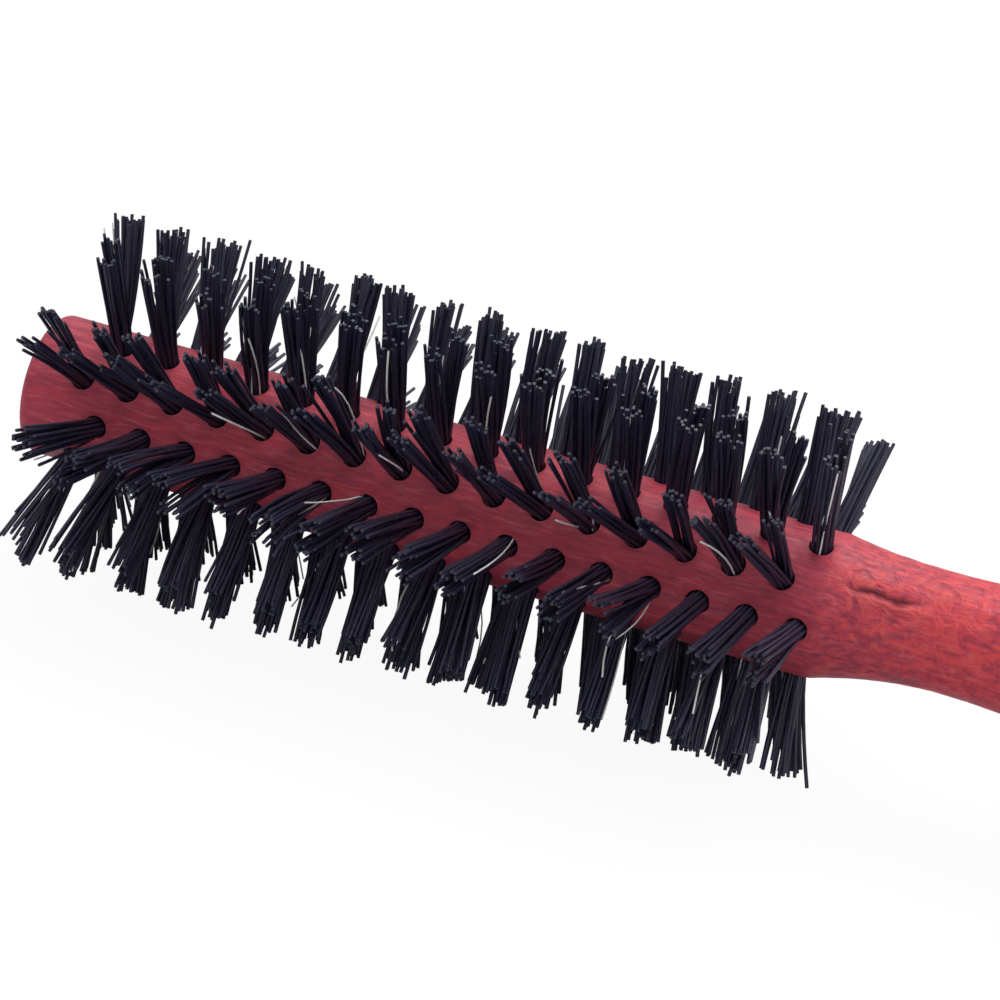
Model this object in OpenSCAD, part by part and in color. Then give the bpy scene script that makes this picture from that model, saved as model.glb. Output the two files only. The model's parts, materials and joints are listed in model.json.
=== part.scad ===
// Round barrel brush: one turned wooden body, with bristle tufts stapled into blind holes.
// X runs along the turning axis, from the free end of the barrel to the end of the handle.
// The brush lies on the tips of two neighbouring tuft rows, with Z = 0 at the lowest tips.

/* [Barrel] */
// Diameter of the barrel that carries the tufts
barrel_d = 19; // [17:0.5:26]
// Radius that breaks the edge of the barrel's flat free end
end_edge_r = 1.4; // [0.5:0.1:2]
// From the free end to the first tufts of the leading rows
first_tuft_gap = 8.2; // [5:0.2:14]
// From the last tufts of the trailing rows to where the neck starts
last_tuft_gap = 2; // [1.8:0.2:8]

/* [Handle] */
// Diameter at the narrowest place of the neck
neck_d = 15.2; // [11:0.2:16]
// From where the neck starts to its narrowest place
neck_run = 15.5; // [10:0.5:25]
// Diameter of the handle at its thickest place
belly_d = 20; // [17:0.5:24]
// From the narrowest place of the neck to the thickest place of the handle
belly_run = 36; // [25:1:60]
// Diameter of the handle where its rounded end begins
tail_d = 16.5; // [13:0.5:17]
// From the thickest place of the handle to where its rounded end begins
tail_run = 44; // [30:1:70]
// Length of the rounded end
tail_cap = 8; // [5:0.5:12]

/* [Tufts] */
// Rows of tufts around the barrel, an even number so that alternate rows can be staggered
row_count = 10; // [8:2:10]
// Tufts in each row
tufts_per_row = 16; // [6:1:20]
// Distance between neighbouring tufts of a row
tuft_pitch = 6.4; // [5:0.1:10]
// Diameter over the tips of the bristles
brush_d = 51; // [40:1:64]
// Diameter of a tuft at its tips
tuft_tip_d = 5; // [4:0.1:6]
// Length at the tips over which the bristle ends are trimmed unevenly
tip_dome = 1; // [0.4:0.1:1.6]

/* [Tuft holes] */
// Diameter of a tuft hole
hole_d = 3.1; // [2.6:0.1:3.8]
// Depth of a tuft hole, measured from the barrel's surface
hole_depth = 5.4; // [4.5:0.1:6.5]
// Play between a tuft and the side of its hole
tuft_play = 0.05; // [0.03:0.01:0.1]

/* [Wire anchors] */
// Thickness of the flat wire anchor
anchor_t = 0.45; // [0.3:0.05:0.6]
// Height of the anchor along the depth of its hole
anchor_h = 1.5; // [1:0.1:1.8]
// How far each end of the anchor bites into the wood beside the hole
anchor_bite = 0.35; // [0.2:0.05:0.5]
// Depth of bristle folded under the anchor
fold_depth = 0.8; // [0.5:0.1:1]

/* [Hidden] */
$fn = 48;
overrun = 0.5;                      // how far a cut runs past the face that it opens
barrel_r = barrel_d / 2;
brush_r = brush_d / 2;
hole_r = hole_d / 2;
tuft_r = hole_r - tuft_play;
tip_r = tuft_tip_d / 2;
row_step = 360 / row_count;         // angle between neighbouring rows
row_turn = row_step * ((270 / row_step + 0.5) % 1);    // puts straight down midway between two rows

// Stations along the axis, measured from the free end
neck_start = first_tuft_gap + (tufts_per_row - 0.5) * tuft_pitch + last_tuft_gap;
neck_x = neck_start + neck_run;
belly_x = neck_x + belly_run;
tail_x = belly_x + tail_run;
total_len = tail_x + tail_cap;

// Levels along a hole, measured from the axis
hole_floor = barrel_r - hole_depth;
anchor_floor = hole_floor + fold_depth;
anchor_len = hole_d + 2 * anchor_bite;

// Height of the axis over the surface, set by the lowest bristle tips of the two lowest rows
trim_level = brush_r - tip_dome;
lean = row_step / 2;
axis_h = max(trim_level * cos(lean) + tip_r * sin(lean), brush_r * cos(lean) + tip_r / 2 * sin(lean));

// Rows are numbered around the barrel, starting from the one that faces -Y
ROWS = [for (i = [0 : row_count - 1]) i];
function numbered(name, i) = str(name, i < 9 ? "_0" : "_", i + 1);

// Outline of the wooden body, as [radius, distance from the free end]
run_steps = 8;
edge_steps = 4;
function cove(x0, r0, x1, r1) =
    [for (i = [1 : run_steps]) let (t = i / run_steps)
        [r1 + (r0 - r1) * pow(1 - t, 2), x0 + (x1 - x0) * t]];
function swell(x0, r0, x1, r1) =
    [for (i = [1 : run_steps]) let (t = i / run_steps)
        [r0 + (r1 - r0) * (1 - cos(180 * t)) / 2, x0 + (x1 - x0) * t]];
function broken_edge() =
    [for (i = [0 : edge_steps]) let (a = 90 * i / edge_steps)
        [barrel_r - end_edge_r * (1 - sin(a)), end_edge_r * (1 - cos(a))]];
function rounded_end() =
    [for (i = [1 : run_steps]) let (a = 90 * i / run_steps)
        [i == run_steps ? 0 : tail_d / 2 * cos(a), tail_x + tail_cap * sin(a)]];
body_outline = concat(
    [[0, 0]],
    broken_edge(),
    [[barrel_r, neck_start]],
    cove(neck_start, barrel_r, neck_x, neck_d / 2),
    swell(neck_x, neck_d / 2, belly_x, belly_d / 2),
    swell(belly_x, belly_d / 2, tail_x, tail_d / 2),
    rounded_end()
);

// Places children at every tuft of a row, with their +Z pointing out of the barrel
module at_row(i) {
    first_x = first_tuft_gap + (i % 2 == 0 ? tuft_pitch / 2 : 0) - total_len / 2;
    for (j = [0 : tufts_per_row - 1])
        translate([first_x + j * tuft_pitch, 0, axis_h])
            rotate([90 - row_turn - row_step * i, 0, 0]) children();
}

// Drilled from outside, with a flat floor
module drilled_hole() {
    translate([0, 0, hole_floor]) cylinder(r = hole_r, h = hole_depth + overrun);
}

// A piece of flat wire pressed across the hole, with its ends biting into the wood
module anchor() {
    translate([-anchor_len / 2, -anchor_t / 2, anchor_floor]) cube([anchor_len, anchor_t, anchor_h]);
}

// Bristles folded under the anchor, gripped by the hole and spreading to their trimmed tips
module tuft() {
    difference() {
        rotate_extrude() polygon([
            [0, hole_floor],
            [tuft_r, hole_floor],
            [tuft_r, barrel_r],
            [tip_r, trim_level],
            [tip_r / 2, brush_r],
            [0, brush_r]
        ]);
        anchor();
    }
}

module brush_body() {
    color("firebrick") difference() {
        translate([-total_len / 2, 0, axis_h]) rotate([0, 90, 0]) rotate_extrude() polygon(body_outline);
        for (i = ROWS) at_row(i) drilled_hole();
        for (i = ROWS) at_row(i) anchor();
    }
}

module tuft_row(i) {
    color("#23222e") at_row(i) tuft();
}

module anchor_row(i) {
    color("goldenrod") at_row(i) anchor();
}

brush_body();
for (i = ROWS) tuft_row(i);
for (i = ROWS) anchor_row(i);
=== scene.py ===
# %% [markdown]
# # A round barrel brush
#
# A round hair brush is a turned wooden body, drilled all round its barrel, with a tuft of nylon
# bristle stapled into every hole. This notebook dresses the finished design in three steps: the
# wood is turned and drilled again as one smooth mesh, the bristles are grown row by row with
# Geometry Nodes, and each finish is mixed from procedural nodes. The frame says where the tufts
# stand and what outline the wood has. How the worn rows lean, how high the handle stands and the
# colours are chosen.

import json
import math
import random

import bmesh
import bpy
import numpy as np
from mathutils import Matrix, Vector

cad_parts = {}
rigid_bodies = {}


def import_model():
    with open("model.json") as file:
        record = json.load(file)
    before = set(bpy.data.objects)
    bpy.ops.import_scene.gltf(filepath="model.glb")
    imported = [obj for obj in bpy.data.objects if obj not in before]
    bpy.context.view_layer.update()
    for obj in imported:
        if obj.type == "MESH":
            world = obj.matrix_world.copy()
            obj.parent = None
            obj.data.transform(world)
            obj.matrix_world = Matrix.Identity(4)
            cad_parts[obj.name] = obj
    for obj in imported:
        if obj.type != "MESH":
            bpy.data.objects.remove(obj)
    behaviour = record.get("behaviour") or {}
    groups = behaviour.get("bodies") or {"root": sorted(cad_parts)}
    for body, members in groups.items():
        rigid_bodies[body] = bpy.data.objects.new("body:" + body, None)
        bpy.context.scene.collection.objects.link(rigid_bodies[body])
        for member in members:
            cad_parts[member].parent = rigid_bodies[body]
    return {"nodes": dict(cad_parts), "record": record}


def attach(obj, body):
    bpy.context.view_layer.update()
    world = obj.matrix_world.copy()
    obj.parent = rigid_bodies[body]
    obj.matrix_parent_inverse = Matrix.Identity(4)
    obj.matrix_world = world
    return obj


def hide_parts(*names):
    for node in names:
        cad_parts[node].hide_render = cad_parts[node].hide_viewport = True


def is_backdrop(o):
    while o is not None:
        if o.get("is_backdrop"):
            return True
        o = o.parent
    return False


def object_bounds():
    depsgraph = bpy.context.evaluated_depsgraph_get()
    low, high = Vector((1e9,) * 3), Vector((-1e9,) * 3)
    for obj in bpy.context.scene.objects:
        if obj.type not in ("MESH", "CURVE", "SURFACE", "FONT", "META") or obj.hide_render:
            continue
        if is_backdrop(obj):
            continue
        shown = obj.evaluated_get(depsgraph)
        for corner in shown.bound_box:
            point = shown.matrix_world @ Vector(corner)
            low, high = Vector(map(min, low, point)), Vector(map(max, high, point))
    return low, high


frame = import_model()
cad_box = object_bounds()
record = frame["record"]
MM = 0.001
print("nodes in the frame:", len(frame["nodes"]))

# %% [markdown]
# ## The camera
#
# A small product is shot from some way off with a long lens, so that its far end looks about as
# large as its near end. The camera is placed on a circle around a point on the turning axis, then
# rolled about its own line of sight, so that the brush is shown running slightly downhill.

# %% Place the camera
mount = next(m for m in record["mounts"] if m["name"] == "free_end_face")
FREE_END_X, AXIS_Y, AXIS_Z = mount["pos_m"]
AIM = Vector((FREE_END_X + 64.6 * MM, AXIS_Y, AXIS_Z + 1.6 * MM))
CAMERA_AZIMUTH = math.radians(15.44)
CAMERA_ELEVATION = math.radians(24.25)
CAMERA_ROLL = math.radians(9.51)
CAMERA_DISTANCE = 452.4 * MM
CAMERA_LENS_MM = 126.0


def on_circle(aim, azimuth, elevation, distance):
    """A place at that distance from the aim; azimuth 0 is in front, on the -Y side."""
    flat = math.cos(elevation)
    away = Vector((flat * math.sin(azimuth), -flat * math.cos(azimuth), math.sin(elevation)))
    return aim + away * distance


def look_at(place, aim, roll=0.0):
    """The matrix of something at that place, whose own -Z points at the aim."""
    turn = (aim - place).to_track_quat("-Z", "Y").to_matrix().to_4x4()
    return Matrix.Translation(place) @ turn @ Matrix.Rotation(roll, 4, "Z")


def into_scene(made):
    bpy.context.scene.collection.objects.link(made)
    return made


camera = into_scene(bpy.data.objects.new("camera", bpy.data.cameras.new("camera")))
camera.data.lens = CAMERA_LENS_MM
camera.data.clip_start = 0.01
camera_place = on_circle(AIM, CAMERA_AZIMUTH, CAMERA_ELEVATION, CAMERA_DISTANCE)
camera.matrix_world = look_at(camera_place, AIM, CAMERA_ROLL)
bpy.context.scene.camera = camera
print("camera at", [round(v / MM, 1) for v in camera_place], "mm")

# %% [markdown]
# ## Where the tufts are
#
# The wire anchors sit exactly under the tufts, so the middle of each anchor says where a tuft
# stands and which way it points. The places could be typed in again, but measuring them on the
# frame keeps the two models alike.

# %% Measure the tuft places
ROWS = sorted(n for n in frame["nodes"] if n.startswith("tuft_row_"))
ANCHORS = sorted(n for n in frame["nodes"] if n.startswith("anchor_row_"))
BODY = "root"


def corner_array(node):
    """The corners of a CAD node's mesh as an array with one row for each corner."""
    vertices = frame["nodes"][node].data.vertices
    flat = np.empty(len(vertices) * 3)
    vertices.foreach_get("co", flat)
    return flat.reshape(-1, 3)


def anchor_middles(node):
    """The middle of every anchor in a row, from the free end to the handle."""
    corners = corner_array(node)
    ends = np.unique(corners[:, 0].round(6)).reshape(-1, 2)
    y, z = (corners.min(0) + corners.max(0))[1:] / 2
    return [(x, y, z) for x in ends.mean(1)]


def angle_around(point):
    """The angle of a point about the turning axis, from the front (-Y) upwards."""
    return math.atan2(point[2] - AXIS_Z, AXIS_Y - point[1])


tuft_x = {}
row_angle = {}
for row, anchor in zip(ROWS, ANCHORS):
    middles = anchor_middles(anchor)
    tuft_x[row] = [float(m[0]) for m in middles]
    row_angle[row] = angle_around(middles[0])
TUFTS = len(tuft_x[ROWS[0]])
PITCH = (tuft_x[ROWS[0]][-1] - tuft_x[ROWS[0]][0]) / (TUFTS - 1)
ROW_STEP = 2 * math.pi / len(ROWS)
FIRST_X = min(xs[0] for xs in tuft_x.values())
LAST_X = max(xs[-1] for xs in tuft_x.values())
print(f"{len(ROWS)} rows of {TUFTS} tufts, {PITCH / MM:.2f} mm apart")

# %% [markdown]
# ## The outline of the wood
#
# The body is turned, so one outline says its whole shape. The design carries that outline as a
# few rings; a smooth curve through the same rings takes the facets out of the neck and the handle
# without changing a size. The outline is written from the free end to the tip of the handle, as a
# place along the axis and a radius, and the drilled stretch is one long step in the middle of it.

# %% Measure the outline and smooth it
HOLE_R = 1.55 * MM
HOLE_DEPTH = 5.4 * MM
ANCHOR_END_X = LAST_X + 1.9 * MM
EDGE_STEPS = 6
FACE_RINGS = 4
NECK_RING_STEP = 0.32 * MM
HANDLE_RING_STEP = 0.62 * MM
NECK_DETAIL_LENGTH = 34 * MM

wood = corner_array("brush_body")
wood_r = np.hypot(wood[:, 1] - AXIS_Y, wood[:, 2] - AXIS_Z)
past = wood[:, 0] > ANCHOR_END_X + 0.03 * MM
rings = sorted({(round(float(x), 6), round(float(r), 6)) for x, r in zip(wood[past, 0], wood_r[past])})
BARREL_R = float(wood_r[wood[:, 0] < FIRST_X].max())
EDGE_R = BARREL_R - float(wood_r[wood[:, 0] < FREE_END_X + 0.01 * MM].max())
NECK_START_X = rings[0][0]
START_X = FIRST_X - PITCH / 2
END_X = LAST_X + PITCH / 2


def smooth_run(points, steps):
    """A Catmull-Rom curve through points given as (place along the axis, radius)."""
    ends = [(2 * points[0][0] - points[1][0], points[0][1])]
    ends += list(points)
    ends += [(points[-1][0], -points[-2][1])]
    out = []
    for a, b, c, d in zip(ends, ends[1:], ends[2:], ends[3:]):
        a, b, c, d = (np.array(p) for p in (a, b, c, d))
        for k in range(steps):
            t = k / steps
            out.append(0.5 * (2 * b + (c - a) * t + (2 * a - 5 * b + 4 * c - d) * t**2
                              + (3 * b - a - 3 * c + d) * t**3))
    out.append(np.array(points[-1]))
    return np.array(out)


fine = smooth_run(rings, 12)
fine_length = np.concatenate([[0], np.hypot(*np.diff(fine, axis=0).T).cumsum()])


def free_end_outline():
    """From the middle of the flat face over the broken edge to the first tuft cells."""
    flat_r = BARREL_R - EDGE_R
    out = [(FREE_END_X, flat_r * k / FACE_RINGS) for k in range(FACE_RINGS)]
    for k in range(EDGE_STEPS + 1):
        turn = math.pi / 2 * k / EDGE_STEPS
        out.append((FREE_END_X + EDGE_R * (1 - math.cos(turn)), flat_r + EDGE_R * math.sin(turn)))
    plain = START_X - FREE_END_X - EDGE_R
    count = max(round(plain / (0.8 * MM)), 1)
    return out + [(START_X - plain * (1 - k / count), BARREL_R) for k in range(1, count + 1)]


def handle_outline():
    """From the last tuft cells to the tip of the handle, closer together at the neck."""
    start = float(np.interp(END_X, fine[:, 0], fine_length))
    neck_end = start + NECK_DETAIL_LENGTH
    marks = list(np.arange(start, neck_end, NECK_RING_STEP))
    rest = fine_length[-1] - neck_end
    marks += list(np.linspace(neck_end, fine_length[-1], round(rest / HANDLE_RING_STEP)))
    out = [tuple(float(np.interp(m, fine_length, fine[:, k])) for k in (0, 1)) for m in marks]
    return [(END_X, out[0][1])] + out[1:]


outline = free_end_outline() + handle_outline()
print(f"barrel radius {BARREL_R / MM:.2f} mm, broken edge {EDGE_R / MM:.2f} mm, "
      f"neck starts at {NECK_START_X / MM:.2f} mm, outline points {len(outline)}")

# %% [markdown]
# ## One drilled cell
#
# A drilled barrel could be made by cutting 160 cylinders out of a lathe mesh, but a boolean leaves
# long thin triangles that shade badly. Here one cell of the barrel is made instead, the curved
# rectangle that belongs to one tuft, and it is repeated later. It is all quads around a round hole
# with a small rounded lip, where the varnish has gathered. Neighbouring rows are staggered by half
# a pitch, so a cell has an even number of divisions along the barrel and all cells meet corner to
# corner. Two values are kept on its points: "skin" is 1 on the outer surface, and "lip" is 1 at
# the mouth of the hole. The undrilled half cells fill out the ends of the rows.

# %% Make the drilled cell and the plain half cell
CELL_ALONG = 8
CELL_ACROSS = 12
CELL_RINGS = 4
LIP = 0.10 * MM
LIP_STEPS = 3
WALL_STEPS = 2


def on_barrel(x, angle):
    """A point of the barrel around an axis through the origin."""
    return (x, -BARREL_R * math.cos(angle), BARREL_R * math.sin(angle))


def in_hole(u, w, depth):
    """A point of a hole that is drilled at angle 0: u along, w around, depth under the surface."""
    return (u, depth - math.sqrt(BARREL_R**2 - w**2), w)


def pattern_object(name, points, faces, skin, lip):
    """A mesh object with the two values that the wood finish and the sanding read."""
    mesh = bpy.data.meshes.new(name)
    mesh.from_pydata(points, [], faces)
    for label, values in (("skin", skin), ("lip", lip)):
        mesh.attributes.new(label, "FLOAT", "POINT").data.foreach_set("value", np.array(values, np.float32))
    return into_scene(bpy.data.objects.new(name, mesh))


def cell_border():
    """Places around the border of a cell, as shares of its half length and half width."""
    i, j = CELL_ALONG, CELL_ACROSS
    border = [(-1 + 2 * k / i, -1) for k in range(i)] + [(1, -1 + 2 * k / j) for k in range(j)]
    return border + [(1 - 2 * k / i, 1) for k in range(i)] + [(-1, 1 - 2 * k / j) for k in range(j)]


def drilled_cell():
    half_x, half_arc = PITCH / 2, ROW_STEP / 2
    border = cell_border()
    bearings = [math.atan2(b * half_arc * BARREL_R, a * half_x) for a, b in border]
    mouth_r = HOLE_R + LIP
    loops = []

    def ring(r, depth):
        return [in_hole(r * math.cos(t), r * math.sin(t), depth) for t in bearings]

    for k in range(CELL_RINGS, -1, -1):
        share = (k / CELL_RINGS) ** 1.4
        loop = []
        for (a, b), t in zip(border, bearings):
            mouth_x, mouth_turn = mouth_r * math.cos(t), math.asin(mouth_r * math.sin(t) / BARREL_R)
            loop.append(on_barrel(mouth_x + (a * half_x - mouth_x) * share,
                                  mouth_turn + (b * half_arc - mouth_turn) * share))
        loops.append((loop, 1.0, 0.35 if k == 0 else 0.0))
    for k in range(1, LIP_STEPS + 1):
        turn = math.pi / 2 * k / LIP_STEPS
        r, sink = mouth_r - LIP * math.sin(turn), LIP * (1 - math.cos(turn))
        loops.append((ring(r, sink), 0.0, 1.0))
    for k in range(1, WALL_STEPS + 1):
        depth = LIP + (HOLE_DEPTH - LIP) * k / WALL_STEPS
        loops.append((ring(HOLE_R, depth), 0.0, 0.0))
    points, faces, skin, lip = [], [], [], []
    count = len(border)
    for n, (loop, on_skin, on_lip) in enumerate(loops):
        points += loop
        skin += [on_skin] * count
        lip += [on_lip] * count
        if n:
            for k in range(count):
                m = (k + 1) % count
                faces.append(((n - 1) * count + k, (n - 1) * count + m, n * count + m, n * count + k))
    points.append(in_hole(0, 0, HOLE_DEPTH))
    last = len(points) - 1
    faces += [(last - count + k, last - count + (k + 1) % count, last) for k in range(count)]
    return pattern_object("drilled_cell", points, faces, skin + [0.0], lip + [0.0])


def half_cell():
    """The undrilled half cell that fills out the end of a row."""
    columns = CELL_ALONG // 2
    points = [on_barrel(PITCH / 2 * k / columns, ROW_STEP * (j / CELL_ACROSS - 0.5))
              for k in range(columns + 1) for j in range(CELL_ACROSS + 1)]
    side = CELL_ACROSS + 1
    faces = [(k * side + j, (k + 1) * side + j, (k + 1) * side + j + 1, k * side + j + 1)
             for k in range(columns) for j in range(CELL_ACROSS)]
    return pattern_object("half_cell", points, faces, [1.0] * len(points), [0.0] * len(points))


CELL, HALF_CELL = drilled_cell(), half_cell()
print("faces in a cell:", len(CELL.data.polygons))

# %% [markdown]
# ## Small helpers for node trees
#
# The body, the bristles and the finishes are all node trees built in code. Sockets are found by
# name among those that are switched on, so the same helper serves shader and geometry nodes.

# %% Node helpers
def socket(sockets, name):
    return next(s for s in sockets if s.name == name and s.enabled)


def feed(tree, target, value):
    """Links a socket to an input, or sets the input to a plain value."""
    if isinstance(value, bpy.types.NodeSocket):
        tree.links.new(value, target)
    else:
        target.default_value = value


def put(tree, kind, inputs=None, **settings):
    """Adds a node, sets its properties, then fills its inputs by name or by number."""
    node = tree.nodes.new(kind)
    for key, value in settings.items():
        setattr(node, key, value)
    for name, value in (inputs or {}).items():
        feed(tree, node.inputs[name] if isinstance(name, int) else socket(node.inputs, name), value)
    return node


def first_out(node):
    return next(s for s in node.outputs if s.enabled)


def sums(tree, operation, *values, clamp=False):
    """One step of arithmetic on single values."""
    node = put(tree, "ShaderNodeMath", dict(enumerate(values)), operation=operation, use_clamp=clamp)
    return node.outputs[0]


def plus(tree, a, b, clamp=False):
    return sums(tree, "ADD", a, b, clamp=clamp)


def minus(tree, a, b, clamp=False):
    return sums(tree, "SUBTRACT", a, b, clamp=clamp)


def times(tree, a, b):
    return sums(tree, "MULTIPLY", a, b)


def over(tree, a, b, clamp=False):
    return sums(tree, "DIVIDE", a, b, clamp=clamp)


def vectors(tree, operation, *values, scale=None):
    """One step of arithmetic on vectors."""
    node = put(tree, "ShaderNodeVectorMath", dict(enumerate(values)), operation=operation)
    if scale is not None:
        feed(tree, socket(node.inputs, "Scale"), scale)
    return first_out(node)


def combine(tree, x=0.0, y=0.0, z=0.0):
    return put(tree, "ShaderNodeCombineXYZ", {"X": x, "Y": y, "Z": z}).outputs[0]


def split(tree, vector):
    return put(tree, "ShaderNodeSeparateXYZ", {0: vector}).outputs


def noise(tree, place, scale, **values):
    """The value of a noise texture; the words in values are its other inputs."""
    inputs = {"Vector": place, "Scale": scale, **{name.capitalize(): value for name, value in values.items()}}
    return put(tree, "ShaderNodeTexNoise", inputs).outputs[0]


def remap(tree, value, low, high, to_low=0.0, to_high=1.0):
    """A value taken from one range to another, without running past it."""
    return put(tree, "ShaderNodeMapRange", {"Value": value, "From Min": low, "From Max": high,
                                            "To Min": to_low, "To Max": to_high}).outputs[0]


def here(tree):
    """Where each point of the geometry is."""
    return put(tree, "GeometryNodeInputPosition").outputs[0]


def named(tree, name, kind="FLOAT"):
    return put(tree, "GeometryNodeInputNamedAttribute", {"Name": name}, data_type=kind).outputs[0]


def keep(tree, geometry, name, value, kind="FLOAT"):
    """Stores a value on the points under a name."""
    return put(tree, "GeometryNodeStoreNamedAttribute", {"Geometry": geometry, "Name": name, "Value": value},
               data_type=kind, domain="POINT").outputs["Geometry"]


def moved(tree, geometry, offset):
    return put(tree, "GeometryNodeSetPosition", {"Geometry": geometry, "Offset": offset}).outputs[0]


def finished(tree, geometry, material):
    """The end of every tree: smooth, real, and with its material on."""
    smooth = put(tree, "GeometryNodeSetShadeSmooth", {0: geometry})
    real = put(tree, "GeometryNodeRealizeInstances", {"Geometry": smooth.outputs[0]})
    coated = put(tree, "GeometryNodeSetMaterial", {"Geometry": real.outputs[0], "Material": material})
    return coated.outputs[0]


def new_geometry_tree(name, sockets):
    """An empty geometry tree with the named inputs, its input sockets and its output node."""
    tree = bpy.data.node_groups.new(name, "GeometryNodeTree")
    for label, kind in sockets.items():
        tree.interface.new_socket(label, in_out="INPUT", socket_type="NodeSocket" + kind)
    tree.interface.new_socket("Result", in_out="OUTPUT", socket_type="NodeSocketGeometry")
    return tree, put(tree, "NodeGroupInput").outputs, put(tree, "NodeGroupOutput")


def made_by(tree, start, values, name, leftovers=()):
    """Runs a geometry tree on a starting mesh and keeps the result as a plain mesh object."""
    seed_object = into_scene(bpy.data.objects.new(name + "_start", start))
    modifier = seed_object.modifiers.new(tree.name, "NODES")
    modifier.node_group = tree
    for item in tree.interface.items_tree:
        if item.item_type == "SOCKET" and item.in_out == "INPUT" and item.name in values:
            modifier[item.identifier] = values[item.name]
    graph = bpy.context.evaluated_depsgraph_get()
    mesh = bpy.data.meshes.new_from_object(seed_object.evaluated_get(graph))
    bpy.data.objects.remove(seed_object)
    for label in [a.name for a in mesh.attributes if a.name in leftovers]:
        mesh.attributes.remove(mesh.attributes[label])
    mesh.name = name
    return into_scene(bpy.data.objects.new(name, mesh))


# %% [markdown]
# ## Turning and drilling the body
#
# The tree below is a small workshop. It turns the outline: a flat grid gets one column for every
# point of the outline and is rolled around the axis. The long step across the drilled stretch is
# cut out again, and the drilled cells are repeated in its place, row by row, with every second row
# moved by half a pitch. The joints are then welded. Last comes the hand work: a real turned and
# sanded body is never quite true, and its neck is wrinkled where the cutter met the grain across,
# with one drying crack that opened along it. Its handle also stands about a millimetre higher than
# the line of the barrel, as on a blank that moved while it dried, so the points past the barrel
# are raised along a soft curve.

# %% The tree that turns and drills
AROUND = len(ROWS) * CELL_ACROSS
WAVES_PER_METRE = (90.0, 210.0, 210.0)
WRINKLES_PER_METRE = (420.0, 560.0, 560.0)
CRACK_X = NECK_START_X + 7.4 * MM
CRACK_ANGLE = math.radians(43.0)
CRACK_WIDTH = 0.55 * MM
CRACK_REACH = 6.5 * MM
HANDLE_LIFT = 1.05 * MM
LIFT_LENGTH = 24 * MM
BODY_SIZES = {
    "Rows": len(ROWS),
    "Tufts in a row": TUFTS,
    "Around": AROUND,
    "Pitch": PITCH,
    "First tuft": FIRST_X,
    "Neck start": NECK_START_X,
    "Neck drop": BARREL_R - next(r for x, r in outline if x == END_X),
    "Weld": 0.004 * MM,
    "Wave": 0.07 * MM,
    "Wrinkle": 0.08 * MM,
    "Crack depth": 0.20 * MM,
    "Handle lift": HANDLE_LIFT,
    "Axis": (0.0, AXIS_Y, AXIS_Z),
    "Seed": 5,
}


def noise_at(tree, place, shift, detail=1.0, distortion=0.0):
    """Smooth noise around zero, between about -1 and 1, read at a place."""
    grain = noise(tree, vectors(tree, "ADD", place, shift), 1.0, detail=detail, distortion=distortion)
    return sums(tree, "MULTIPLY_ADD", grain, 2.0, -1.0)


def lift_at(tree, x, lift):
    """How high the axis of the handle stands over the axis of the barrel at a place along it."""
    left = remap(tree, x, NECK_START_X - 1 * MM, NECK_START_X - 1 * MM + LIFT_LENGTH, 1.0, 0.0)
    return times(tree, minus(tree, 1.0, sums(tree, "POWER", left, 2.0)), lift)


def cells_on_rows(tree, given, cell, in_a_row, x_of):
    """Copies of a cell around the axis, in_a_row to each row, with x_of(row, number) as their places."""
    index = put(tree, "GeometryNodeInputIndex").outputs[0]
    row = sums(tree, "FLOOR", over(tree, plus(tree, index, 0.5), in_a_row))
    number = minus(tree, index, times(tree, row, in_a_row))
    x = x_of(sums(tree, "MODULO", row, 2.0), number)
    count = times(tree, given["Rows"], in_a_row)
    places = put(tree, "GeometryNodePoints", {"Count": count, "Position": combine(tree, x)})
    turn = times(tree, over(tree, row, given["Rows"]), -2 * math.pi)
    shape = put(tree, "GeometryNodeObjectInfo", {"Object": cell}).outputs["Geometry"]
    return put(tree, "GeometryNodeInstanceOnPoints", {"Points": places.outputs[0], "Instance": shape,
                                                      "Rotation": combine(tree, turn)}).outputs[0]


def turned_outline(tree, given):
    """The outline rolled around the axis, with the drilled stretch left open."""
    size = put(tree, "GeometryNodeAttributeDomainSize", {"Geometry": given["Outline"]})
    count = size.outputs["Point Count"]
    side = plus(tree, given["Around"], 1.0)
    grid = put(tree, "GeometryNodeMeshGrid", {"Vertices X": count, "Vertices Y": side}).outputs["Mesh"]
    index = put(tree, "GeometryNodeInputIndex").outputs[0]
    column = sums(tree, "FLOOR", over(tree, plus(tree, index, 0.5), side))
    step = minus(tree, index, times(tree, column, side))
    position = here(tree)
    wanted = {"Geometry": given["Outline"], "Value": position, "Index": column}
    drawn = put(tree, "GeometryNodeSampleIndex", wanted, data_type="FLOAT_VECTOR", domain="POINT").outputs[0]
    parts = split(tree, drawn)
    angle = times(tree, over(tree, step, given["Around"]), 2 * math.pi)
    y = times(tree, parts["Z"], times(tree, sums(tree, "COSINE", angle), -1.0))
    z = times(tree, parts["Z"], sums(tree, "SINE", angle))
    around_axis = combine(tree, parts["X"], y, z)
    rolled = put(tree, "GeometryNodeSetPosition", {"Geometry": grid, "Position": around_axis})
    drilled_length = times(tree, given["Pitch"], plus(tree, given["Tufts in a row"], 0.5))
    middle = plus(tree, given["First tuft"], times(tree, drilled_length, 0.5))
    middle = minus(tree, middle, times(tree, given["Pitch"], 0.5))
    x = split(tree, position)["X"]
    away = sums(tree, "ABSOLUTE", minus(tree, x, middle))
    drilled = sums(tree, "LESS_THAN", away, times(tree, drilled_length, 0.49))
    opened = put(tree, "GeometryNodeDeleteGeometry", {"Geometry": rolled.outputs[0], "Selection": drilled},
                 domain="FACE").outputs[0]
    return keep(tree, opened, "skin", 1.0)


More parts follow.
